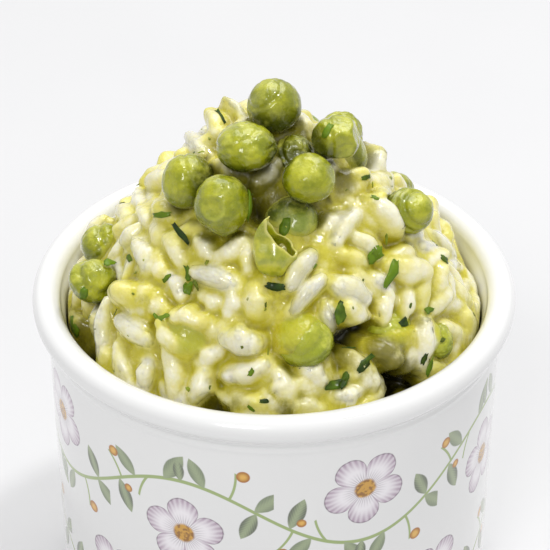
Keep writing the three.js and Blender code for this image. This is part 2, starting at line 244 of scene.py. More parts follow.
def copies(faces, count, points_each):
    """The same faces for each of count copies that follow one another in the list of points."""
    return (np.arange(count)[:, None, None] * points_each + faces[None]).reshape(-1, faces.shape[-1])


def turned(profile, columns):
    """The profile's (radius, height) points carried round the axis; its two ends lie on the axis."""
    profile = np.array(profile)
    angle = np.arange(columns) * 2 * np.pi / columns
    radius, height = profile[1:-1, 0, None], profile[1:-1, 1, None]
    rings = np.stack([radius * np.cos(angle), radius * np.sin(angle), height + 0 * angle], -1)
    ends = np.array([[0, 0, profile[0, 1]], [0, 0, profile[-1, 1]]])
    return np.concatenate([ends[:1], rings.reshape(-1, 3), ends[1:]])


def unit(vectors):
    return vectors / np.maximum(np.linalg.norm(vectors, axis=-1, keepdims=True), 1e-9)


def ease(value, low, high):
    """A smooth step from 0 at low to 1 at high, and level beyond them. Low may lie above high."""
    share = np.clip((value - low) / (high - low), 0, 1)
    return share * share * (3 - 2 * share)


def ripples(points, size, seed, waves=12):
    """Smooth unevenness of about -1 to 1: a sum of sine waves about size long along seeded directions."""
    random = np.random.default_rng(seed)
    ways = unit(random.normal(size=(waves, 3))) * random.uniform(0.7, 1.4, (waves, 1))
    phase = random.uniform(0, 2 * np.pi, waves)
    total = 0
    for way, start in zip(ways, phase):
        total = total + np.sin(points @ (way * 2 * np.pi / size) + start)
    return total / np.sqrt(waves) / 1.3


# ---- Materials: sums on sockets ----


class Wire:
    """A value that varies over a surface. Sums on it add Math nodes."""

    def __init__(self, paint, socket):
        self.paint, self.socket = paint, socket

    def __add__(self, other):
        return self.paint.act("ADD", self, other)

    def __sub__(self, other):
        return self.paint.act("SUBTRACT", self, other)

    def __rsub__(self, other):
        return self.paint.act("SUBTRACT", other, self)

    def __mul__(self, other):
        return self.paint.act("MULTIPLY", self, other)

    def __truediv__(self, other):
        return self.paint.act("DIVIDE", self, other)

    def __rtruediv__(self, other):
        return self.paint.act("DIVIDE", other, self)

    def __floordiv__(self, other):
        return self.paint.act("FLOOR", self / other)

    def __rfloordiv__(self, other):
        return self.paint.act("FLOOR", other / self)

    def __neg__(self):
        return self * -1

    def __abs__(self):
        return self.paint.act("ABSOLUTE", self)

    __radd__ = __add__
    __rmul__ = __mul__


class Paint:
    """One material round its Principled surface."""

    def __init__(self, name, **constants):
        self.material = bpy.data.materials.new(name)
        self.material.use_nodes = True
        self.tree = self.material.node_tree
        self.surface = self.tree.nodes["Principled BSDF"]
        for key, value in constants.items():
            self.surface.inputs[key.replace("_", " ")].default_value = value

    def node(self, kind, settings, sockets, output=0):
        """Adds a node: its type, its settings, which come first, then the values or links of its sockets."""
        made = self.tree.nodes.new(kind)
        for key, value in settings.items():
            setattr(made, key, value)
        for key, value in sockets.items():
            if isinstance(value, Wire):
                self.tree.links.new(value.socket, made.inputs[key])
            else:
                made.inputs[key].default_value = value
        return Wire(self, made.outputs[output])

    def feed(self, **wires):
        for key, wire in wires.items():
            self.tree.links.new(wire.socket, self.surface.inputs[key.replace("_", " ")])

    def place(self):
        return self.node("ShaderNodeTexCoord", {}, {}, "Object")

    def parts(self, vector):
        return [self.node("ShaderNodeSeparateXYZ", {}, {0: vector}, axis) for axis in "XYZ"]

    def mark(self, name):
        return self.node("ShaderNodeAttribute", {"attribute_name": name}, {}, "Fac")

    def noise(self, size, detail, rough=0.5):
        """Cloudy unevenness from 0 to 1 with features of about size mm."""
        sockets = {"Vector": self.place(), "Scale": 1 / (size * MM), "Detail": detail, "Roughness": rough}
        return self.node("ShaderNodeTexNoise", {}, sockets)

    def ease(self, value, low, high):
        sockets = {"Value": value, "From Min": low, "From Max": high}
        return self.node("ShaderNodeMapRange", {"interpolation_type": "SMOOTHSTEP"}, sockets)

    def act(self, operation, first, second=0.0):
        return self.node("ShaderNodeMath", {"operation": operation}, {0: first, 1: second})

    def far(self, along, aside):
        """Distance from the middle of a pattern: the root of the sum of both squares."""
        return self.act("POWER", along * along + aside * aside, 0.5)

    def mix(self, share, one, other):
        """The colour one where share is 0, and other where it is 1."""
        return self.node("ShaderNodeMix", {"data_type": "RGBA"}, {0: share, 6: one, 7: other}, 2)

    def over(self, under, mask, low, high, share, tone):
        """Lays a tone over under: not at all where mask is at low, and by share where it is at high."""
        return self.mix(self.ease(mask, low, high) * share, under, tone)

    def bump(self, height, distance, strength):
        """Relief whose height runs over distance mm."""
        sockets = {"Strength": strength, "Distance": distance * MM, "Height": height}
        self.feed(Normal=self.node("ShaderNodeBump", {}, sockets))


def colour(*values):
    """A colour from its usual red, green and blue of 0 to 255."""
    linear = [((v / 255 + 0.055) / 1.055) ** 2.4 if v > 10 else v / 255 / 12.92 for v in values]
    return (*linear, 1.0)


# ---- The pot ----


def bend(radius, height, size, start, end, steps):
    """Points of an arc round (radius, height), between two angles in degrees."""
    angle = np.radians(np.linspace(start, end, steps + 1))
    return [(radius + size * math.cos(a), height + size * math.sin(a)) for a in angle]


def pot_profile():
    """From the axis below, round the foot, up the wall, over the rolled rim and down inside to the axis."""
    rim = POT_HEIGHT - RIM_ROLL
    foot = [(0, RECESS_DEPTH), (RECESS_RADIUS - 1.5, RECESS_DEPTH)]
    foot += [(RECESS_RADIUS - 0.6, 0.85), (RECESS_RADIUS + 0.2, 0.35)]
    foot += [(RECESS_RADIUS + 0.9, 0.04), (RECESS_RADIUS + 1.6, 0.0)]
    foot += bend(WALL_FOOT - CORNER, CORNER, CORNER, -90, 0, 10)
    shares = np.linspace(0.04, 1, 40)
    wall = [(WALL_FOOT + (WALL_TOP - WALL_FOOT) * s, CORNER + WALL_RISE * s) for s in shares]
    # Two fine throwing lines under the roll.
    lines = [(0.02, 56.6), (0.16, 57.0), (0.2, 57.4), (0.1, 57.8), (0.14, 58.1), (0.34, 58.6), (0.8, 59.2)]
    under = [(WALL_TOP + out, height) for out, height in lines]
    roll = bend(RIM_RADIUS, rim, RIM_ROLL, -48, 180, 34)
    inside = [(BORE + out, rim - down) for out, down in [(0.55, 0.8), (0.25, 1.6), (0.05, 2.6), (0, 4)]]
    inside += [(BORE, h) for h in np.linspace(rim - 6, FLOOR + CORNER + 1, 24)]
    inside += bend(BORE - CORNER, FLOOR + CORNER, CORNER, 0, -90, 8)
    return foot + wall + under + roll + inside + [(18, FLOOR), (0, FLOOR)]


def print_on(paint, base):
    """A garland of blossoms, leaves and berries in two rows round the wall, worked out from the way round
    and the height, in mm. Each half wave of the vine is the one before it, turned upside down."""
    half_wave = 2 * math.pi * WALL_TOP / 8
    foot, pitch = 5.5, 25.0  # where the lower row begins, and how far the rows stand apart
    x, y, height = [axis / MM for axis in paint.parts(paint.place())]
    row = (height - foot) // pitch
    across = paint.act("ARCTAN2", x, -y) * WALL_TOP + (row + 1) * (half_wave / 2)
    bay = across // half_wave
    flip = 1 - (bay - bay // 2 * 2) * 2
    u = across - bay * half_wave
    v = (height - foot - (row + 0.5) * pitch) * flip
    outside = paint.ease(paint.far(x, y), BORE + 1.4, BORE + 1.9)
    outside = outside * paint.ease(height, 4.5, 5.5) * paint.ease(height, 56.0, 55.0)
    wobble = (paint.noise(1.6, 2) - 0.5) * 0.5
    grey_green, dark, stalk = colour(122, 132, 110), colour(84, 88, 82), colour(158, 176, 116)
    lilac, petal = colour(160, 132, 156), colour(240, 236, 240)
    ochre, ink = colour(206, 156, 62), colour(112, 98, 110)

    def beside(u0, v0, turn):
        """Position from a motif's own middle, turned."""
        c, s = math.cos(turn), math.sin(turn)
        return (u - u0) * c + (v - v0) * s, (v - v0) * c - (u - u0) * s

    def lay(under, mask, over):
        return paint.mix(mask * outside, under, over)

    def stalk_from(under, u0, v0, turn, length):
        along, aside = beside(u0, v0, turn)
        line = paint.ease(abs(aside - along * along * 0.05), 0.3, 0.14)
        line = line * paint.ease(along, 0, 0.2)
        return lay(under, line * paint.ease(along, length, length - 0.2), stalk)

    def leaf(under, u0, v0, turn, length, width, tone):
        """A pointed leaf from its foot: half-width falls with the square of the distance from its middle."""
        along, aside = beside(u0 + length / 2 * math.cos(turn), v0 + length / 2 * math.sin(turn), turn)
        away = abs(aside)
        half_width = (1 - along * along / (length * length / 4)) * (width / 2)
        edge = abs(aside + wobble * 0.3) - half_width
        veins = paint.act("SINE", (along - away * 1.4) * 9) * 0.1
        inner = paint.mix(paint.ease(away, 0.02, width * 0.45) * 0.75 + veins, colour(156, 168, 134), tone)
        return lay(under, paint.ease(edge, 0.12, -0.12), inner)

    def berry(under, u0, v0, size):
        radius = paint.far(*beside(u0, v0, 0.0))
        shade = paint.ease(radius + wobble, size * 0.2, size)
        body = paint.mix(shade, colour(226, 178, 84), colour(168, 108, 44))
        return lay(under, paint.ease(radius, size + 0.1, size - 0.1), body)

    def bloom(under, u0, v0, size, turn):
        """Five broad petals. Their edge lies at size * (1 + the cosine's size to the power 0.45) / 2."""
        along, aside = beside(u0, v0, turn)
        radius = paint.far(along, aside)
        angle = paint.act("ARCTAN2", aside, along)
        lobe = paint.act("POWER", abs(paint.act("COSINE", angle * 2.5)), 0.45)
        edge = (lobe * 0.5 + 0.5) * size + wobble * 0.7
        rays = paint.act("SINE", angle * 42 + wobble * 6) * 0.5 + 0.5
        blush = paint.ease(edge - radius, size * 0.42, 0) * (rays * 0.5 + 0.5)
        body = paint.mix(blush * 0.85, petal, lilac)
        body = paint.mix(paint.ease(radius, size * 0.62, size * 0.2) * rays * 0.55, body, ink)
        outline = paint.ease(abs(edge - radius), 0.26, 0.08)
        body = paint.mix(outline * (rays * 0.3 + 0.6), body, ink)
        speck = paint.ease(paint.noise(0.7, 1), 0.4, 0.6)
        heart = paint.mix(speck, ochre, colour(150, 104, 44))
        body = paint.mix(paint.ease(radius + wobble, size * 0.3, size * 0.22), body, heart)
        return lay(under, paint.ease(radius - edge, 0.15, -0.1), body)

    vine = abs(v - paint.act("SINE", u * (math.pi / half_wave)) * 6)
    painted = lay(base, paint.ease(vine, 0.45, 0.25), stalk)
    for shoot in [(8.5, 4.7, -2.2, 5.0), (3.0, 1.9, 1.9, 5.0), (22.5, 4.1, 1.1, 5.5)]:
        painted = stalk_from(painted, *shoot)
    for sprig in [(6.0, 3.6, 2.3, 6.0, 2.6), (11.5, 5.6, 1.0, 6.6, 2.8), (18.5, 5.6, 2.0, 6.0, 2.5),
                  (26.5, 1.9, 0.7, 6.2, 2.8)]:
        painted = leaf(painted, *sprig, grey_green)
    for sprig in [(2.5, 1.5, -1.2, 6.5, 2.7), (26.8, 1.7, -2.0, 6.0, 2.6), (14.5, 6.0, 1.7, 4.2, 1.9)]:
        painted = leaf(painted, *sprig, dark)
    for fruit in [(1.4, 6.5, 1.0), (24.8, 9.0, 1.1), (4.4, 0.4, 0.8)]:
        painted = berry(painted, *fruit)
    return bloom(painted, half_wave / 2, -4.6, 7.0, 0.35)


def glazed():
    """White glaze with a faintly clouded tone and slight waves, printed with flowers."""
    paint = Paint("white_glaze", Roughness=0.16, Coat_Weight=0.5, Coat_Roughness=0.05)
    base = paint.mix(paint.noise(14, 2), colour(229, 229, 229), colour(233, 233, 232))
    paint.feed(Base_Color=print_on(paint, base))
    paint.bump(paint.noise(9, 2, 0.4), 0.05, 0.35)
    return paint.material


def make_pot():
    profile = pot_profile()
    faces = ball_faces(len(profile) - 2, POT_COLUMNS)
    pot = add_mesh("glazed_pot", turned(profile, POT_COLUMNS), *faces)
    pot.data.materials.append(glazed())
    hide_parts("pot")
    return pot


# ---- The bare heap ----


def heap_top(x, y):
    """Height of the bare heap: edge + rise * (1 - reach ** fullness), and a bell-shaped swelling for each
    lump."""
    reach = np.hypot(x, y) / HEAP_RADIUS
    z = HEAP_EDGE + HEAP_RISE * (1 - np.minimum(reach, 1.1) ** HEAP_FULLNESS)
    for lump_x, lump_y, rise, spread in LUMPS:
        z = z + rise * np.exp(-((x - lump_x) ** 2 + (y - lump_y) ** 2) / (2 * spread**2))
    return z


def heap_facing(x, y):
    """The direction that the bare heap faces: square to its slopes along X and Y."""
    step = 0.4
    slope_x = (heap_top(x + step, y) - heap_top(x - step, y)) / (2 * step)
    slope_y = (heap_top(x, y + step) - heap_top(x, y - step)) / (2 * step)
    return unit(np.stack([-slope_x, -slope_y, np.ones_like(slope_x)], -1))


def area_within(steps, x_share, y_share):
    """The heap's area within each of many reaches, summed from slivers along one slope, and the reaches."""
    reach = HEAP_RADIUS * np.linspace(0, 1, steps)
    slope = np.hypot(np.diff(reach), np.diff(heap_top(reach * x_share, reach * y_share)))
    return np.concatenate([[0], np.cumsum((reach[1:] + reach[:-1]) * slope)]), reach


def on_heap(places, lift):
    """Where the line of sight through each place of the frame first goes under the heap, raised by lift."""
    lift = np.broadcast_to(lift, len(places))
    ahead = np.array([0, math.cos(VIEW_PITCH), -math.sin(VIEW_PITCH)])
    up = np.array([0, math.sin(VIEW_PITCH), math.cos(VIEW_PITCH)])
    right = np.array([1.0, 0, 0])
    across, down = np.hsplit((places - VIEW_WIDTH / 2) / VIEW_FOCUS, 2)
    ways = ahead + across * right - down * up
    steps = np.linspace(310, 480, 1361)
    points = VIEW_PLACE + ways[:, None] * steps[None, :, None]
    x, y, z = points[..., 0], points[..., 1], points[..., 2]
    raised = lift[:, None] / np.maximum(heap_facing(x, y)[..., 2], 0.3)
    above = z - heap_top(x, y) - raised
    above[np.hypot(x, y) > HEAP_RADIUS + 1] = 50
    hit = np.where((above < 0).any(1), (above < 0).argmax(1), above.argmin(1))
    return points[np.arange(len(points)), hit]


def in_view(points):
    """Each point's place in the frame, and its distance."""
    from_view = points - VIEW_PLACE
    depth = from_view[..., 1] * math.cos(VIEW_PITCH) - from_view[..., 2] * math.sin(VIEW_PITCH)
    height = from_view[..., 1] * math.sin(VIEW_PITCH) + from_view[..., 2] * math.cos(VIEW_PITCH)
    half = VIEW_WIDTH / 2
    return half + VIEW_FOCUS * from_view[..., 0] / depth, half - VIEW_FOCUS * height / depth, depth


# ---- Grains of rice ----

pea_names = sorted(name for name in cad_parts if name.startswith("pea_"))
pea_boxes = np.array([[list(corner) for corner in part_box(name)] for name in pea_names]) / MM
pea_middles, pea_halves = pea_boxes.mean(1), (pea_boxes[:, 1] - pea_boxes[:, 0]) / 2
skin_box = np.array([list(corner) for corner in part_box("split_skin")]) / MM


def shaded_by_peas(points, facings, own=-1):
    """How much light the peas round each point take from it, from 0 to 1: for each pea, the square of its
    size over its distance, times how far the point faces it."""
    taken = np.zeros(len(points))
    for k, (middle, size) in enumerate(zip(pea_middles, pea_halves.mean(1))):
        away = middle - points
        far = np.maximum(np.linalg.norm(away, axis=1), size)
        if k != own:
            taken += (size / far) ** 2 * np.clip((facings * away).sum(1) / far * 0.75 + 0.25, 0, 1)
    return np.clip(taken, 0, 1)


class Grains:
    """All the grains, first as rows and then as arrays: middle, unit axis, length, width, bow, taper, facing,
    tint and coat."""

    def __init__(self):
        self.rows = []

    def fits(self, middle, along, length, width, apart):
        spots = middle + along * (THIRDS * length)
        to_peas = np.linalg.norm(spots[:, None] - pea_middles, axis=-1)
        if (to_peas < pea_halves.mean(1) + width * OFF_PEAS).any():
            return False
        if (np.linalg.norm(spots - skin_box.mean(0), axis=-1) < OFF_SKIN).any():
            return False
        if not self.rows:
            return True
        others = np.array([[*row["middle"], *row["along"], row["length"]] for row in self.rows])
        others = others[np.linalg.norm(others[:, :3] - middle, axis=1) < NEARBY]
        laid = others[:, None, :3] + others[:, None, 3:6] * (THIRDS * others[:, None, 6:])
        gaps = np.linalg.norm(spots[:, None] - laid.reshape(1, -1, 3), axis=-1)
        return not len(laid) or gaps.min() > apart

    def add(self, **row):
        self.rows.append(row)

    def close(self):
        for key in ("middle", "along", "length", "width", "bow", "taper", "facing", "tint", "coat"):
            setattr(self, key, np.array([row[key] for row in self.rows], float))
        self.keel = np.random.default_rng(5).uniform(-0.05, 0.1, len(self.rows))
        self.girth = self.width / 2
        self.half = np.maximum((self.length - self.width) / 2, 0.4)

    def distance(self, points, k, flare):
        """Distance of points from grain k: from its bowed middle line, less its girth there. The tips are
        drawn out, a keel runs along the top, and under the line the girth widens by flare, so that sauce
        fills in beneath."""
        away = points - self.middle[k]
        ahead = away @ self.along[k]
        share = np.clip(ahead / self.half[k], -1, 1)
        ahead = share * self.half[k] * TIP_DRAWN + ahead * (1 - TIP_DRAWN)
        away = away - ahead[..., None] * self.along[k] - (1 - share**2)[..., None] * self.bow[k]
        height = away @ self.facing[k]
        whole = (away**2).sum(-1)
        side, distance = np.sqrt(np.maximum(whole - height**2, 0)), np.sqrt(whole)
        reach = np.where(height < 0, (side + flare * height) / math.hypot(1, flare), distance)
        turn = height / np.maximum(distance, 0.1)
        keel = self.keel[k] * (4 * turn**2 - 3) * turn
        return reach - self.girth[k] * (1 - self.taper[k] * share - END_SLIMMING * share**2 + keel)


def inside_pot(points, girth):
    """Points moved inwards where they would reach the pot's wall."""
    reach = np.hypot(points[..., 0], points[..., 1])
    most = np.where(points[..., 2] < POT_HEIGHT + 1, HEAP_RADIUS - girth + 0.1, 99)
    points = points.copy()
    points[..., :2] *= np.minimum(1, most / np.maximum(reach, 1e-6))[..., None]
    return points


def film_on(tint):
    """How thick the sauce lies on a grain: the palest ones come through it, the yellowest are well coated."""
    return -0.1 if tint < 0.2 else 0.06 + 0.35 * (tint - 0.2)


def clumping(place):
    """Where grains hang together in clumps that stand out, above 0, or lie lower, below 0."""
    return ripples(place, 12.0, 8)


def lay_grains():
    """First the placed grains, then two layers spread by the golden angle over the area."""
    random = np.random.default_rng(2718)
    grains = Grains()
    seen = np.array(SEEN_GRAINS, float)
    first, second = on_heap(seen[:, 0:2], seen[:, 5]), on_heap(seen[:, 2:4], seen[:, 5])
    for (*_, width, lift, tint), one, other in zip(seen, first, second):
        one, other = inside_pot(np.stack([one, other]), width / 2)
        along, length = unit(other - one), float(np.clip(np.linalg.norm(other - one), *PLACED_LENGTHS))
        middle = (one + other) / 2
        facing = heap_facing(middle[0], middle[1])
        # A grain that only touches the heap's outline comes down on to it.
        proud = (middle[2] - heap_top(middle[0], middle[1])) * facing[2] - lift
        middle = middle - facing * max(proud - MOST_PROUD, 0)
        facing = unit(facing - along * (facing @ along))
        bow = np.cross(along, facing) * random.uniform(-MOST_BOW, MOST_BOW)
        taper = random.uniform(-0.14, 0.14)
        grains.add(middle=middle, along=along, length=length, width=width, bow=bow, taper=taper,
                   facing=facing, tint=tint, coat=film_on(tint))
    area, reach = area_within(400, 1, 0)
    golden = np.pi * (3 - math.sqrt(5))
    for count, low, high, apart in STREWN_LAYERS:
        for k in range(count):
            radius = np.interp(area[-1] * (k + 0.5) / count, area, reach)
            angle = k * golden + low
            x, y = radius * math.cos(angle), radius * math.sin(angle)
            facing = heap_facing(np.float64(x), np.float64(y))
            lift, tilt = random.uniform(low, high), random.normal(0, TILT)
            bearing = random.uniform(0, np.pi)
            length, width = random.uniform(*GRAIN_LENGTHS), random.uniform(*GRAIN_WIDTHS)
            taper, sway = random.uniform(-0.16, 0.16), random.uniform(-MOST_BOW, MOST_BOW)
            tint = random.beta(1.5, 1.5)
            bare = np.array([x, y, heap_top(x, y)])
            lift += CLUMP_RISE * clumping(bare)
            if (np.linalg.norm(hollow_places - bare, axis=1) < hollow_reach).any():
                continue
            middle = bare + facing * lift
            for turn in range(STREWN_TURNS):
                way = bearing + turn * STREWN_TURN
                flat = np.array([math.cos(way), math.sin(way), 0])
                along = unit(unit(flat - facing * (flat @ facing)) + facing * tilt)
                if grains.fits(middle, along, length, width, apart):
                    half = along * length / 2
                    ends = inside_pot(np.stack([middle - half, middle + half]), width / 2)
                    square = unit(facing - along * (facing @ along))
                    grains.add(middle=ends.mean(0), along=unit(ends[1] - ends[0]), length=length, width=width,
                               bow=np.cross(along, facing) * sway, taper=taper, facing=square, tint=tint,
                               coat=film_on(tint))
                    break
    grains.close()
    return grains


def grain_skin(grains):
    """Each grain: rings along its bowed middle line, with round ends, its girth tapering to one end."""
    latitude = np.radians([-90, -50, -14, 0, 0, 0, 14, 50, 90])
    side = np.array([-1, -1, -1, -0.5, 0, 0.5, 1, 1, 1])
    columns = 10
    angle = np.arange(columns) * 2 * np.pi / columns
    girth = grains.girth[:, None] * (1 - grains.taper[:, None] * side - END_SLIMMING * side**2)
    forward = side * grains.half[:, None] + np.sin(latitude) * girth / TIP_DRAWN
    share = np.clip(forward / grains.half[:, None], -1, 1)
    line = grains.middle[:, None] + forward[..., None] * grains.along[:, None]
    line = line + (1 - share**2)[..., None] * grains.bow[:, None]
    across = np.cross(grains.along, grains.facing)
    cosine, sine = np.cos(angle)[:, None], np.sin(angle)[:, None]
    ring = cosine * grains.facing[:, None] + sine * across[:, None]
    keel = 1 + grains.keel[:, None] * (4 * np.cos(angle) ** 2 - 3) * np.cos(angle)
    radius = (girth * np.cos(latitude))[:, 1:-1, None] * keel[:, None]
    rings = line[:, 1:-1, None] + radius[..., None] * ring[:, None]
    count = len(grains.middle)
    points = np.concatenate([line[:, :1], rings.reshape(count, -1, 3), line[:, -1:]], 1)
    each = points.shape[1]
    quads, fans = [copies(faces[:, ::-1], count, each) for faces in ball_faces(len(side) - 2, columns)]
    return points.reshape(-1, 3), quads, fans, each


# ---- The cream: sauce that fills round the grains, down to the pot's floor ----


def fill_level(x, y, z):
    """How far the sauce stands above the bare heap: unevenness, less a bell-shaped dip at each hollow."""
    places = np.stack([x, y, z], -1)
    level = -0.3 + 0.7 * ripples(places, 8.0, 5) + 0.5 * clumping(places)
    for place, (*_, reach, depth) in zip(hollow_places, HOLLOWS):
        away = (x - place[0]) ** 2 + (y - place[1]) ** 2 + (z - place[2]) ** 2
        level = level - depth * np.exp(-away / (2 * reach**2))
    return level


def near_grains(grains, places, reach):
    """For each grain, the places within reach of its ends."""
    for k in range(len(grains.middle)):
        away = places - grains.middle[k].astype(places.dtype)
        yield k, np.nonzero(np.einsum("ij,ij->i", away, away) < (grains.length[k] / 2 + reach) ** 2)[0]


# Peas that sauce lies over: the side that it covers, how far round it comes as a cosine, and its thickness.
SAUCED_PEAS = {
    "pea_14": ((-0.7, 0.0, 0.7), 0.45, 0.2), "pea_15": ((0.0, 0.0, 1.0), -1.0, 0.25),
    "pea_16": ((-0.7, -0.3, 0.6), 0.4, 0.25), "pea_17": ((0.1, -0.5, -0.85), -0.2, 0.5),
}


def film_on_peas(samples):
    """For each sauced pea, how far samples lie from its film, which sinks into the pea where it is bare."""
    for name, (side, bound, thick) in SAUCED_PEAS.items():
        k = pea_names.index(name)
        near = np.nonzero(np.linalg.norm(samples[:, 0] - pea_middles[k], axis=-1) < 14)[0]
        away = (samples[near] - pea_middles[k]) / pea_halves[k]
        far = np.linalg.norm(away, axis=-1)
        share = ease(away @ unit(np.array(side)) / np.maximum(far, 0.1), bound - 0.25, bound + 0.15)
        yield (far - 1) * pea_halves[k].mean() + 0.6 - share * (0.6 + thick), near


def greened(points):
    """How much a sauced pea shows through the sauce, from 0 to 1: it fades with the distance from the pea."""
    most = np.zeros(len(points))
    for name in SAUCED_PEAS:
        k = pea_names.index(name)
        away = (points - pea_middles[k]) / pea_halves[k]
        far = np.linalg.norm(away, axis=-1)
        ahead = away @ TO_VIEW / np.maximum(far, 0.1)
        most = np.maximum(most, ease((far - 1) * pea_halves[k].mean(), 1.4, 0.1) * ease(ahead, 0.1, 0.85))
    return most


def square_to_disc(half):
    """A square grid drawn out to a disc without a pole: each square ring of the grid becomes a circle."""
    step = np.arange(-half, half + 1) / half
    a, b = np.meshgrid(step, step, indexing="ij")
    wide = np.abs(a) >= np.abs(b)
    reach = np.where(wide, a, b)
    share = np.where(wide, b, a) / np.where(reach == 0, 1, reach)
    angle = np.where(wide, share * np.pi / 4, np.pi / 2 - share * np.pi / 4)
    ring = np.rint(np.maximum(np.abs(a), np.abs(b)) * half).astype(int)
    cosine, sine = np.sign(reach) * np.cos(angle), np.sign(reach) * np.sin(angle)
    # The columns stand closer together at the served face, where the sine is -1.
    swung = np.arctan2(sine, cosine) - 0.35 * cosine
    return ring, np.cos(swung), np.sin(swung)


def nearness(distance):
    return np.exp(-np.clip(distance / BLUR, -30, 30)).astype(np.float32)


def cream_skin(grains):
    """The outermost place, going down on to the heap, where a soft union of the bare heap at the sauce's
    level and of the coated grains begins: -blur * ln(sum of exp(-distance / blur)) = 0."""
    dome_rings = CREAM_RINGS - CREAM_SKIRT
    ring, cosine, sine = square_to_disc(CREAM_RINGS)
    area, reach = area_within(800, 0.7, -0.7)
    dome = np.interp(area[-1] * (np.arange(dome_rings + 1) / dome_rings) ** 2, area, reach)
    # The skirt's circles and their heights, from the heap's edge down to the pot's floor.
    wall = np.array([HEAP_RADIUS, HEAP_RADIUS, HEAP_RADIUS, HEAP_RADIUS - 0.9, HEAP_RADIUS - 3])
    radius = np.concatenate([dome, wall])[ring]
    x, y = radius * cosine, radius * sine
    drop = np.array([HEAP_EDGE - 7.0, 40.0, 8.0, FLOOR + 1.2, FLOOR + 0.3])
    z = np.where(ring <= dome_rings, heap_top(x, y), np.concatenate([np.zeros(dome_rings + 1), drop])[ring])
    base = np.stack([x, y, z], -1).reshape(-1, 3).astype(np.float32)
    upright = ease(radius, 29.5, HEAP_RADIUS)[..., None]
    way = unit(heap_facing(x, y) * (1 - upright) + np.array([0, 0, 1.0]) * upright)
    way = way.reshape(-1, 3).astype(np.float32)

    on_dome = np.nonzero(ring.ravel() <= dome_rings)[0]
    layers = np.linspace(*SEARCH, dtype=np.float32)
    places, ways = base[on_dome], way[on_dome]
    samples = places[:, None] + ways[:, None] * layers[None, :, None]
    sx, sy, sz = samples[..., 0], samples[..., 1], samples[..., 2]
    level = fill_level(places[:, 0], places[:, 1], places[:, 2])[:, None]
    above = (sz - heap_top(sx, sy)) * heap_facing(places[:, 0], places[:, 1])[:, 2:]
    total = nearness(above - level)
    for k, close in near_grains(grains, places, 4.6):
        total[close] += nearness(grains.distance(samples[close], k, UNDERFILL) - grains.coat[k])
    for film, near in film_on_peas(samples):
        total[near] += nearness(film)
    field = -BLUR * np.log(total)
    beside_pot = np.where(sz < POT_HEIGHT + 0.4, np.hypot(sx, sy) - HEAP_RADIUS - 0.05, -9)
    field = np.maximum(field, beside_pot)
    under = field < 0
    under[:, 0] = True
    last = layers.size - 1 - under[:, ::-1].argmax(1)
    last = np.minimum(last, layers.size - 2)
    here = np.take_along_axis(field, last[:, None], 1)[:, 0]
    beyond = np.take_along_axis(field, last[:, None] + 1, 1)[:, 0]
    share = np.clip(-here / np.maximum(beyond - here, 1e-6), 0, 1)
    rise = np.zeros(len(base), np.float32)
    rise[on_dome] = layers[last] + share * (layers[1] - layers[0])
    sheet = rise.reshape(ring.shape)
    for axis in (0, 1):
        beside = np.roll(sheet, 1, axis) + np.roll(sheet, -1, axis)
        sheet[1:-1, 1:-1] = (sheet * 2.4 + beside * 0.8)[1:-1, 1:-1] / 4
    sheet += (0.05 * ripples(base, 2.0, 11) + 0.03 * ripples(base, 0.9, 12)).reshape(ring.shape)
    sheet[ring > dome_rings] = 0
    points = base + way * sheet.reshape(-1, 1)
    # How far each point lies under the mean height round it: the sheet is spread evenly, step by step.
    even = sheet.copy()
    for step in range(60):
        for axis in (0, 1):
            even = even / 2 + (np.roll(even, 1, axis) + np.roll(even, -1, axis)) / 4
    return points, (even - sheet).ravel()


def grain_marks(grains, points):
    """For each point: how far it lies from the nearest grain, how yellow the grains round it are, how near it
    is to the crown of a grain, where the sauce has run off, how far it lies under the bare heap, and how much
    of a sauced pea and of a dark pool, partly painted shade, shows there."""
    nearest = np.full(len(points), 3.0)
    weight, tinted, crown = np.full(len(points), 1e-4), np.full(len(points), 0.5e-4), np.zeros(len(points))
    for k, close in near_grains(grains, points, 2.5):
        away = grains.distance(points[close], k, 0.0)
        nearest[close] = np.minimum(nearest[close], away)
        pull = np.exp(-np.clip(away, -1, 4) / 0.3)
        weight[close] += pull
        tinted[close] += pull * grains.tint[k]
        height = (points[close] - grains.middle[k]) @ grains.facing[k]
        crown[close] += pull * np.clip(height / grains.girth[k], 0, 1)
    x, y, z = points.T
    sunk = (heap_top(x, y) - z) * heap_facing(x, y)[:, 2]
    return {"deep": np.clip(nearest, 0, 3), "tint": tinted / weight, "crown": crown / weight,
            "sunk": np.clip(sunk, 0, 6), "green": greened(points), "pool": pooled_sauce_and_shade(points)}


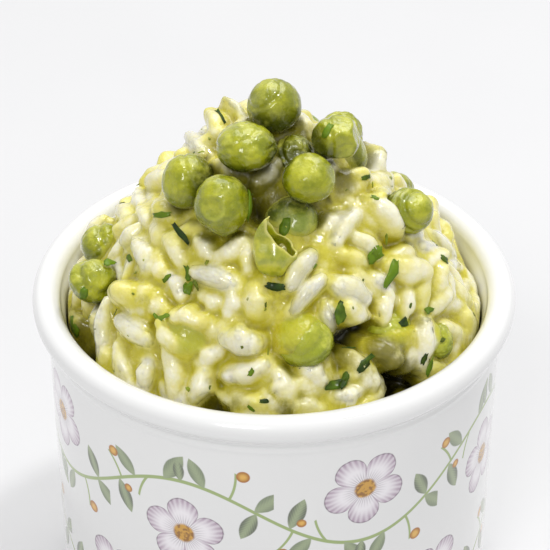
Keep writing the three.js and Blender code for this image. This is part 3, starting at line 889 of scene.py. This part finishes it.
def sauced(name):
    """Cooked rice and its sauce: white where a grain's crown lies bare, yellow-green where sauce gathers,
    with painted shade in the dips and where the heap opens, pools of dark sauce that are partly painted
    shade, and painted shade where the peas keep the light off."""
    paint = Paint(name, Subsurface_Weight=0.5, Subsurface_Scale=0.0018, Subsurface_Radius=(1.0, 0.9, 0.5),
                  Coat_Weight=0.85, Coat_Roughness=0.05, IOR=1.42, Coat_IOR=1.38)
    deep, tint, crown, sunk = [paint.mark(mark) for mark in ("deep", "tint", "crown", "sunk")]
    dip, green, pool, shaded = [paint.mark(mark) for mark in ("dip", "green", "pool", "shaded")]
    cloud, streaks = paint.noise(6.5, 3, 0.55), paint.noise(3.4, 4, 0.65)
    patches, fine = paint.noise(2.2, 3, 0.6), paint.noise(0.8, 3, 0.6)
    rice = paint.mix(paint.ease(patches, 0.3, 0.7), colour(237, 234, 212), colour(230, 225, 186))
    film = paint.mix(paint.ease(cloud, 0.35, 0.65), colour(229, 221, 143), colour(218, 210, 101))
    film = paint.over(film, streaks, 0.5, 0.3, 0.6, colour(210, 201, 84))
    clouded = paint.ease(cloud + (fine - 0.5) * 0.3, 0.38, 0.66)
    sauce = paint.mix(clouded, colour(212, 203, 72), colour(190, 180, 34))
    sauce = paint.over(sauce, streaks, 0.48, 0.7, 0.7, colour(220, 213, 146))
    coated = tint * 0.9 + (cloud - 0.5) * 1.7 + (patches - 0.5) * 0.6 + (1 - crown)
    shade = paint.mix(paint.ease(coated, 0.1, 1.15), rice, film)
    shade = paint.mix(paint.ease(deep + dip * 0.5 + (patches - 0.5) * 0.5, 0.05, 0.7), shade, sauce)
    # Painted shade: darker olive in the dips, where the sheet lies under the mean height round it.
    shade = paint.over(shade, dip + (fine - 0.5) * 0.3, 0.35, 1.1, 0.42, colour(158, 144, 14))
    # Painted shade: olive where the surface lies under the bare heap.
    shade = paint.over(shade, sunk + (cloud - 0.5) * 1.8, 0.5, 2.0, 0.6, colour(138, 130, 12))
    shade = paint.over(shade, green + (streaks - 0.5) * 1.2, 0.3, 1.1, 0.8, colour(180, 182, 42))
    # Pools of dark olive: partly the sauce's own colour, partly painted shade between clumps and peas.
    pool_and_shade_tone = paint.mix(paint.ease(cloud, 0.4, 0.6), colour(136, 128, 24), colour(88, 84, 10))
    shade = paint.over(shade, pool + (patches - 0.5) * 0.9 - crown * 0.2, 0.2, 0.9, 0.86, pool_and_shade_tone)
    # Painted shade: near black deep in the hollows.
    shade = paint.over(shade, sunk, 2.2, 4.2, 0.95, colour(22, 20, 6))
    shade = paint.over(shade, shaded, 0.28, 0.9, 0.84, colour(94, 91, 10))
    paint.feed(Base_Color=shade, Roughness=0.08 + fine * 0.3)
    paint.bump(fine * 0.6 + patches * 0.9 + paint.noise(0.35, 2) * 0.15, 0.4, 0.6)
    return paint.material


def skin_of(piece):
    """A piece's points in mm, and the directions that they face."""
    values = np.empty((2, len(piece.data.vertices) * 3), np.float32)
    piece.data.vertices.foreach_get("co", values[0])
    piece.data.vertices.foreach_get("normal", values[1])
    points, facings = values.reshape(2, -1, 3).astype(float)
    return points / MM, facings


def pooled_sauce_and_shade(points):
    """How dark the sauce is at each point, partly its own colour and partly painted shade: the most of a
    bell-shaped patch round each pool, measured across the view, on what lies near the pool."""
    most = np.zeros(len(points))
    px, py, depth = in_view(points)
    for place, (x, y, reach, dark) in zip(on_heap(np.array(DARK_SAUCE_AND_SHADE)[:, :2], 0.0), DARK_SAUCE_AND_SHADE):
        aside = np.hypot(px - x, py - y) * depth / VIEW_FOCUS
        near = ease(np.linalg.norm(points - place, axis=1), 8.0, 5.0)
        most = np.maximum(most, dark * near * np.exp(-(aside**2) / (2 * reach**2)))
    return most


def make_rice_and_cream():
    grains = lay_grains()
    points, quads, fans, each = grain_skin(grains)
    marks = grain_marks(grains, points)
    x, y, z = points.T
    proud = (z - heap_top(x, y)) * heap_facing(x, y)[:, 2]
    marks["deep"] = ease(fill_level(x, y, z) + 0.5 - proud, 0.0, 0.8) * 0.5
    marks["tint"] = np.repeat(grains.tint, each)
    # A little sauce colour and painted shade on the grains' flanks, less on their crowns, as the cream has in
    # its dips.
    marks["dip"] = 0.25 - 0.6 * marks["crown"]
    rice = add_mesh("rice_grains", points, quads, fans, marks)
    points, dip = cream_skin(grains)
    across = 2 * CREAM_RINGS + 1
    quads, edge = sheet_faces(across, across)
    fan = np.stack([np.full(len(edge), len(points)), np.roll(edge, -1), edge], -1)
    points = np.concatenate([points, [[0, 0, FLOOR + 0.3]]])
    marks = grain_marks(grains, points)
    marks["dip"] = np.concatenate([dip, [0]])
    cream = add_mesh("cream_sauce", points, quads, fan, marks)
    for piece, name in ((rice, "cooked_rice"), (cream, "risotto_cream")):
        add_mark(piece, "shaded", shaded_by_peas(*skin_of(piece)))
        piece.data.materials.append(sauced(name))
        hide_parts("risotto")
    return rice, cream


# ---- Peas ----

# What is special about the peas that show: flat faces (direction, depth), grooves (direction, offset, width,
# depth), and how wrinkled the skin is. A groove of less than no depth is a raised line.
PEA_FORMS = {
    "pea_01": ([((-0.75, -0.4, 0.5), 0.06), ((0.5, -0.8, 0.1), 0.03)],
               [((-0.5, -0.2, 0.85), 0.72, 0.07, 0.05)], 0.012),
    "pea_02": ([((0.15, -0.1, 1.0), 0.06), ((-0.5, -0.85, -0.1), 0.06), ((0.9, -0.4, 0.1), 0.06)],
               [((-0.5, 0.2, 0.8), 0.55, 0.09, 0.05), ((0.6, 0.0, 0.8), 0.72, 0.08, 0.05)], 0.020),
    "pea_03": ([((0.35, -0.85, 0.4), 0.10), ((-0.7, -0.6, 0.3), 0.08), ((0.1, -0.5, -0.8), 0.06)],
               [((0.9, 0.1, 0.4), 0.25, 0.10, 0.06)], 0.010),
    "pea_04": ([((-0.3, -0.9, 0.3), 0.09), ((0.9, -0.4, 0.2), 0.05)],
               [((-0.35, -0.85, 0.35), 1.0, 0.07, 0.06), ((-0.35, -0.85, 0.35), 0.91, 0.03, -0.03)], 0.010),
    "pea_05": ([((-0.2, -0.5, 0.85), 0.05), ((0.9, -0.3, 0.5), 0.04), ((0.2, -0.9, -0.35), 0.05)], [], 0.006),
    "pea_06": ([((0.25, -0.95, 0.05), 0.20), ((0.95, -0.1, 0.3), 0.16), ((0.15, -0.1, 1.0), 0.17),
                ((-0.8, -0.5, 0.25), 0.22), ((0.1, -0.4, -0.9), 0.16)],
               [((1.0, 0.1, 0.0), -0.3, 0.14, 0.10)], 0.012),
    "pea_07": ([((0.3, -0.9, 0.2), 0.08), ((0.9, -0.1, 0.5), 0.08)], [], 0.012),
    "pea_08": ([((0.3, -0.3, 0.9), 0.10), ((0.9, -0.3, 0.3), 0.10)],
               [((0.6, -0.2, 0.8), 0.55, 0.10, 0.10)], 0.03),
    "pea_09": ([((-0.3, -0.8, 0.5), 0.04)], [], 0.008),
    "pea_10": ([((0, -0.8, 0.5), 0.12), ((-0.7, -0.6, 0.2), 0.10)],
               [((0.6, -0.3, 0.7), 0.3, 0.10, 0.10)], 0.05),
    "pea_11": ([((0.2, -0.2, 0.95), 0.06), ((0.5, -0.8, 0.2), 0.06)],
               [((0.62, -0.5, 0.6), 0.62, 0.09, 0.09), ((0.62, -0.5, 0.6), 0.25, 0.09, 0.10),
                ((0.62, -0.5, 0.6), -0.12, 0.09, 0.08)], 0.008),
    "pea_12": ([((0.3, -0.7, 0.6), 0.10), ((-0.6, -0.4, 0.7), 0.08), ((0.9, -0.4, 0.1), 0.10)],
               [((0.5, -0.2, 0.8), 0.35, 0.20, 0.12)], 0.022),
    "pea_13": ([((0.6, -0.7, 0.4), 0.08)], [((0.8, 0.1, 0.4), 0.3, 0.18, 0.12)], 0.022),
    "pea_14": ([((0.5, -0.7, 0.5), 0.06), ((-0.5, -0.8, 0.3), 0.05)],
               [((-0.2, -0.5, 0.85), 0.6, 0.16, 0.05)], 0.02),
    "pea_15": ([((-0.3, -0.6, 0.7), 0.08)], [], 0.03),
    "pea_16": ([((0.3, -0.6, 0.7), 0.10), ((-0.5, -0.7, 0.4), 0.10)],
               [((0.9, -0.3, 0.3), 0.3, 0.14, 0.12)], 0.05),
    "pea_17": ([((0.2, -0.9, 0.2), 0.10)], [], 0.03),
}

# Which of the four coats each pea that shows has, from pea_01 on: olive, lime, dull or creamed.
PEA_COATS = [0, 1, 1, 1, 1, 1, 0, 1, 2, 0, 1, 1, 1, 3, 3, 3, 3]


def pea_skin(k):
    """A ball drawn out to its solid's size. Flat faces cut it softly: radius = soft least of 1 and
    (1 - depth) / cosine. Grooves run round it at an offset along their direction, and ripples wrinkle it."""
    name = pea_names[k]
    random = np.random.default_rng(100 + k)
    few = [(unit(random.normal(size=3)), random.uniform(0.03, 0.1)) for _ in range(3)]
    flats, grooves, wrinkle = PEA_FORMS.get(name, (few, [], random.uniform(0.006, 0.03)))
    rings, columns = 71, 96
    latitude = np.linspace(-np.pi / 2, np.pi / 2, rings + 2)[1:-1, None]
    angle = np.arange(columns) * 2 * np.pi / columns
    girth = np.cos(latitude)
    ring = np.stack([girth * np.cos(angle), girth * np.sin(angle), np.sin(latitude) + 0 * angle], -1)
    ways = np.concatenate([[[0, 0, -1.0]], ring.reshape(-1, 3), [[0, 0, 1.0]]])
    sharp = 60.0 if name == "pea_06" else 34.0
    total = np.full(len(ways), np.exp(-sharp))
    for direction, depth in flats:
        cosine = ways @ unit(np.array(direction, float))
        total += np.exp(-sharp * (1 - depth) / np.maximum(cosine, 0.35))
    radius = -np.log(total) / sharp
    pale = 1 - np.exp(-sharp) / total
    for direction, offset, width, depth in grooves:
        line = np.exp(-(((ways @ unit(np.array(direction, float))) - offset) / width) ** 2)
        radius -= depth * line * ease(ways @ TO_VIEW, -0.4, 0.4)
        # A raised line, where depth is below 0, is pale.
        pale += line * max(-depth, 0) * 28
    folds = 1 - np.abs(ripples(ways, 0.75, 300 + k)) ** 0.6
    radius += (0.02 + wrinkle * 0.8) * ripples(ways, 1.3, 200 + k) - wrinkle * ease(folds, 0.45, 1.0)
    radius += (0.007 + wrinkle * 0.12) * ripples(ways, 0.36, 400 + k)
    quads, fans = ball_faces(rings, columns)
    points = pea_middles[k] + ways * pea_halves[k] * radius[:, None]
    # The rice beneath keeps light off the pea's underside.
    above = points[:, 2] - heap_top(points[:, 0], points[:, 1])
    under = ease(above, 2.5, 0.0) * (0.5 - 0.5 * ways[:, 2])
    shaded = np.clip(shaded_by_peas(points, ways, k) + 0.8 * under, 0, 1)
    filmed = np.zeros(len(ways))
    if name in SAUCED_PEAS:
        side, bound, _ = SAUCED_PEAS[name]
        filmed = ease(ways @ unit(np.array(side)), bound - 0.9, bound)
    wet = ease(above * heap_facing(points[:, 0], points[:, 1])[:, 2] - fill_level(*points.T), 1.5, 0.1)
    marks = {"fold": folds, "shaded": shaded, "pale": pale, "wet": wet, "filmed": filmed}
    return points, quads, fans, marks


def pea_coat(name, base, light, shadow, creamed=0.0):
    """Cooked pea skin: olive to lime in soft clouds, with painted shade in its folds, by its neighbours and
    underneath, and a painted sheen on top where sauce also gathers; glossy, with sauce over a part.
    """
    paint = Paint(name, Subsurface_Weight=0.12, Subsurface_Scale=0.001, Subsurface_Radius=(0.7, 1.0, 0.12),
                  Coat_Weight=0.9, Coat_Roughness=0.06, IOR=1.36, Coat_IOR=1.4)
    cloud, creases, fine = paint.noise(3.6, 3, 0.5), paint.noise(1.7, 3, 0.6), paint.noise(0.7, 3, 0.6)
    skin = paint.mix(paint.ease(cloud + (creases - 0.5) * 0.5, 0.3, 0.7), base, light)
    skin = paint.over(skin, paint.mark("fold"), 0.7, 1.1, 0.35, shadow)
    skin = paint.over(skin, paint.mark("pale"), 0.3, 2.2, 0.8, colour(184, 188, 78))
    skin = paint.over(skin, paint.mark("shaded"), 0.15, 0.85, 0.82, colour(40, 50, 5))
    up = paint.parts(paint.node("ShaderNodeNewGeometry", {}, {}, "Normal"))[2]
    # Painted shade: darker where the skin faces down.
    skin = paint.over(skin, up, 0.35, -0.6, 0.5, colour(62, 74, 8))
    wet = paint.mark("wet")
    # Pale sauce gathers near the sauce line and, as a painted sheen, on the top of the pea; creamed peas take
    # more sauce on top.
    sauce_and_sheen = paint.noise(2.6, 4, 0.6) + up * (0.16 + creamed * 0.44) + wet * 0.25
    skin = paint.over(skin, sauce_and_sheen, 0.54, 0.84, 0.5 + creamed * 0.5, colour(213, 213, 90))
    skin = paint.over(skin, wet + (fine - 0.5) * 0.6, 0.45, 1.0, 0.7, colour(184, 182, 70))
    filmed = paint.mark("filmed") + (cloud - 0.5) * 0.6
    skin = paint.over(skin, filmed, 0.0, 1.0, 0.7, colour(168, 172, 38))
    paint.feed(Base_Color=skin, Roughness=0.1 + fine * 0.3)
    relief = creases * 0.9 + fine * 0.5 + sauce_and_sheen * 0.4 + paint.noise(0.3, 2) * 0.12
    paint.bump(relief, 0.4, 0.6)
    return paint.material


def make_peas():
    coats = [
        pea_coat("pea_olive", colour(122, 128, 8), colour(158, 161, 16), colour(72, 76, 6)),
        pea_coat("pea_lime", colour(124, 132, 6), colour(168, 170, 20), colour(76, 82, 6)),
        pea_coat("pea_dull", colour(138, 154, 50), colour(162, 174, 76), colour(84, 98, 24)),
        pea_coat("pea_creamed", colour(122, 134, 14), colour(150, 160, 26), colour(84, 94, 10), creamed=0.3),
    ]
    pieces = []
    for k, name in enumerate(pea_names):
        pea = add_mesh("cooked_" + name, *pea_skin(k))
        # The peas at the back take the first three coats in turn.
        pea.data.materials.append(coats[PEA_COATS[k] if k < len(PEA_COATS) else k % 3])
        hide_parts(name)
        pieces.append(pea)
    return pieces


def split_skin():
    """A pea's empty skin, squeezed together towards its mouth: the edge falls from a tall point at the left
    to the right, as (half of one less the cosine) to a power, walked over its outside and back inside."""
    middle, size = skin_box.mean(0), (skin_box[1, 0] - skin_box[0, 0]) / 2 * 1.02
    columns, rows = 96, 40
    angle = np.arange(columns) * 2 * np.pi / columns
    # The edge's height above the widest place, in radii; its front rises once more at the right.
    edge = 0.05 + 1.85 * ((1 - np.cos(angle)) / 2) ** 1.2 + 0.14 * np.sin(angle)
    edge += 0.04 * np.sin(angle * 7 + 1)
    edge += 0.18 * np.exp(-(((angle - math.radians(294)) / 0.3) ** 2))
    share = np.linspace(0, 1, rows)[1:, None]
    along = share * (np.pi / 2 + edge)
    polar, climb = np.minimum(along, np.pi / 2), np.maximum(along - np.pi / 2, 0)
    squeeze = 0.8 - 0.55 * ease(climb, 0.0, 1.0)

    def shell(part):
        folds = 1 + 0.05 * np.sin(5 * angle + 3 * share) + 0.03 * np.sin(9 * angle - 4 * share)
        radius = part * np.sin(polar) * (1 - 0.07 * climb**2) * folds
        height = climb - part * 1.3 * np.cos(polar)
        x, y = radius * np.cos(angle) + 0.06 * climb**3, radius * np.sin(angle) * squeeze
        return np.stack([x, y, height], -1)

    outside, inside = shell(1.0), shell(0.9)[::-1]
    rings = np.concatenate([outside, inside])
    points = np.concatenate([[[0, 0, -1.3]], rings.reshape(-1, 3), [[0, 0, -1.17]]]) * size
    points += np.array([middle[0] - 0.1, middle[1], skin_box[0, 2] + size * 1.25])
    lip = np.concatenate([[0], np.repeat(np.concatenate([share[:, 0], share[::-1, 0]]), columns), [0]])
    piece = add_mesh("split_pea_skin", points, *ball_faces(len(rings), columns), {"fold": 1 - lip})
    paint = Paint("pale_pea_skin", Subsurface_Weight=0.25, Subsurface_Scale=0.001,
                  Subsurface_Radius=(0.8, 1.0, 0.2), Coat_Weight=1.0, Coat_Roughness=0.06)
    cloud = paint.noise(1.8, 3)
    tone = paint.mix(paint.ease(cloud, 0.35, 0.7), colour(150, 156, 16), colour(190, 188, 44))
    tone = paint.over(tone, paint.mark("fold"), 0.07, 0.0, 0.7, colour(222, 216, 120))
    paint.feed(Base_Color=tone, Roughness=0.2 + cloud * 0.2)
    paint.bump(paint.noise(0.8, 3), 0.15, 0.5)
    piece.data.materials.append(paint.material)
    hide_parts("split_skin")
    return piece


# ---- Parsley ----


def lie_down(flat, place, facing, points):
    """How far each flat point of a flake rises along its facing to lie on the points beneath it."""
    near = points[np.linalg.norm(points - place, axis=1) < 3.4] - place
    height = near @ facing
    near, height = near[height > -1.6], height[height > -1.6]
    aside = np.linalg.norm((near - height[:, None] * facing)[None] - (flat - place)[:, None], axis=-1)
    weight = np.exp(-((aside / 0.5) ** 2) + 2.8 * height) + 1e-9
    return (weight * height).sum(1) / weight.sum(1)


def chopped(places, facings, lengths, widths, turns, curls, seed, carrier, columns=5, rows=4):
    """Thin waved flakes: a sheet with a ragged outline that lies on the carrier's points, its ends curled up.
    Each is a closed skin: the sheet's upper side, then its lower side, joined round the edge."""
    random = np.random.default_rng(seed)
    count = len(places)
    # A turn of 0 lies level across the view.
    level = unit(np.array([1.0, 0, 0]) - facings * facings[:, :1])
    other = np.cross(facings, level)
    along = level * np.cos(turns)[:, None] + other * np.sin(turns)[:, None]
    aside = np.cross(facings, along)
    u, v = np.meshgrid(np.linspace(-1, 1, columns), np.linspace(-1, 1, rows), indexing="ij")
    u, v = u.ravel(), v.ravel()
    ragged = 1 + random.uniform(-0.22, 0.22, (count, u.size))
    narrow = 1 - 0.35 * np.abs(u) ** 2
    x = u * ragged * lengths[:, None] / 2
    y = v * ragged * narrow * widths[:, None] / 2
    curl = curls[:, None] * lengths[:, None] * (0.05 * u**2 + 0.03 * (1 + np.sin(3 * u + 5 * v)))
    flat = places[:, None] + along[:, None] * x[..., None] + aside[:, None] * y[..., None]
    lift = 0.1 + curl + 0.02 * random.normal(size=(count, u.size))
    lift += np.array([lie_down(*flake, carrier) for flake in zip(flat, places, facings)])
    top = flat + facings[:, None] * lift[..., None]
    low = top - facings[:, None] * 0.16
    points = np.concatenate([top, low], 1)
    each = u.size
    upper, edge = sheet_faces(columns, rows)
    after = np.roll(edge, -1)
    sides = np.stack([edge, edge + each, after + each, after], -1)
    faces = np.concatenate([upper, upper[:, ::-1] + each, sides])
    shades = np.repeat(random.uniform(0, 1, count), 2 * each)
    return points.reshape(-1, 3), copies(faces, count, 2 * each), shades


def parsley_green(name, dark, light):
    paint = Paint(name, Subsurface_Weight=0.15, Subsurface_Scale=0.0006, Subsurface_Radius=(0.4, 1.0, 0.2),
                  Coat_Weight=0.12, IOR=1.3)
    grain = paint.noise(1.4, 3)
    shade = paint.ease(grain * 0.8 + paint.mark("shade") * 0.9 - 0.35, 0.1, 0.8)
    paint.feed(Base_Color=paint.mix(shade, dark, light), Roughness=0.3 + grain * 0.3)
    paint.bump(paint.noise(0.5, 3), 0.1, 0.6)
    return paint.material


def make_parsley(cream, rice, peas):
    """Seen flakes lie on what first meets their line of sight; tiny ones are strewn over the whole heap."""
    skins = [skin_of(piece) for piece in (cream, rice, *peas)]
    points, facings = [np.concatenate(part) for part in zip(*skins)]
    on_cream = np.arange(len(points)) < len(skins[0][0])
    px, py, depth = in_view(points)
    seen = np.array(SEEN_LEAVES, float)
    near = [(px - x) ** 2 + (py - y) ** 2 < 4 for x, y in seen[:, :2]]
    picks = [int(np.argmin(np.where(close, depth, 1e6))) for close in near]
    shape = *seen[:, 2:4].T, np.radians(seen[:, 4]), seen[:, 5]
    flakes, faces, shades = chopped(points[picks], facings[picks], *shape, 31, points)
    large = add_mesh("chopped_parsley", flakes, faces, marks={"shade": shades})
    large.data.materials.append(parsley_green("parsley", colour(34, 54, 6), colour(100, 128, 16)))
    random = np.random.default_rng(77)
    high = np.nonzero(on_cream & (points[:, 2] > HEAP_EDGE + 3) & (facings[:, 2] > 0.05))[0]
    strewn = random.choice(high, 64, replace=False)
    lengths = random.uniform(0.3, 0.85, len(strewn)) ** 2 + 0.2
    widths = lengths * random.uniform(0.4, 0.9, len(strewn))
    turns, curls = random.uniform(0, 6.3, len(strewn)), random.uniform(0, 0.3, len(strewn))
    shape = lengths, widths, turns, curls
    flakes, faces, shades = chopped(points[strewn], facings[strewn], *shape, 32, points, 3, 3)
    small = add_mesh("parsley_specks", flakes, faces, marks={"shade": shades})
    small.data.materials.append(parsley_green("parsley_fine", colour(84, 96, 22), colour(146, 154, 44)))
    return [large, small]


# ---- The stage: a pale floor, soft light and the camera ----

LIGHTS_AIM = (0, 0, 0.075)  # in metres, as the lights' places and sizes are
FLOOR_REACH = 2500.0
SENSOR_WIDTH = 36.0


def add_light(name, place, size, power):
    """A rectangular lamp that is aimed at the heap."""
    lamp = bpy.data.lights.new(name, "AREA")
    lamp.shape, lamp.size, lamp.size_y, lamp.energy = "RECTANGLE", *size, power
    held = bpy.data.objects.new(name, lamp)
    way = np.array(LIGHTS_AIM) - np.array(place)
    held.location = place
    tilt, bearing = math.acos(-way[2] / np.linalg.norm(way)), math.atan2(way[1], way[0])
    held.rotation_euler = (tilt, 0, bearing - math.pi / 2)
    bpy.context.scene.collection.objects.link(held)


def make_stage():
    corners = np.array([[-1, -1, 0], [1, -1, 0], [1, 1, 0], [-1, 1, 0]]) * FLOOR_REACH
    floor = add_mesh("pale_floor", corners, [[0, 1, 2, 3]])
    paint = Paint("pale_table", Roughness=0.55)
    paint.feed(Base_Color=paint.mix(paint.noise(60, 2), colour(211, 211, 212), colour(216, 216, 217)))
    floor.data.materials.append(paint.material)
    world = bpy.data.worlds.new("soft_room")
    world.use_nodes = True
    sky = world.node_tree.nodes["Background"]
    sky.inputs["Color"].default_value = (1.0, 1.0, 1.0, 1.0)
    sky.inputs["Strength"].default_value = 0.66
    bpy.context.scene.world = world
    add_light("sky_panel", (0.06, 0.42, 0.72), (0.6, 0.4), 2.6)
    add_light("front_window", (-0.14, -0.48, 0.56), (0.16, 0.16), 1.25)
    add_light("high_window", (0.20, 0.06, 0.76), (0.08, 0.08), 1.75)
    camera = bpy.data.objects.new("camera", bpy.data.cameras.new("camera"))
    camera.data.sensor_width = SENSOR_WIDTH
    camera.data.lens = SENSOR_WIDTH * VIEW_FOCUS / VIEW_WIDTH
    camera.data.clip_start, camera.data.clip_end = 0.01, 20.0
    camera.location = VIEW_PLACE * MM
    camera.rotation_euler = (math.pi / 2 - VIEW_PITCH, 0, 0)
    bpy.context.scene.collection.objects.link(camera)
    bpy.context.scene.camera = camera
    bpy.context.scene.view_settings.view_transform = "Standard"


hollow_places = on_heap(np.array(HOLLOWS)[:, :2], 0.0)
hollow_reach = np.array([reach + HOLLOW_MARGIN if depth > DEEP_HOLLOW else 0 for *_, reach, depth in HOLLOWS])
make_stage()
pot = make_pot()
rice, cream = make_rice_and_cream()
peas = make_peas()
skin = split_skin()
parsley = make_parsley(cream, rice, peas)
for piece in [pot, rice, cream, skin, *peas, *parsley]:
    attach(piece, "root")
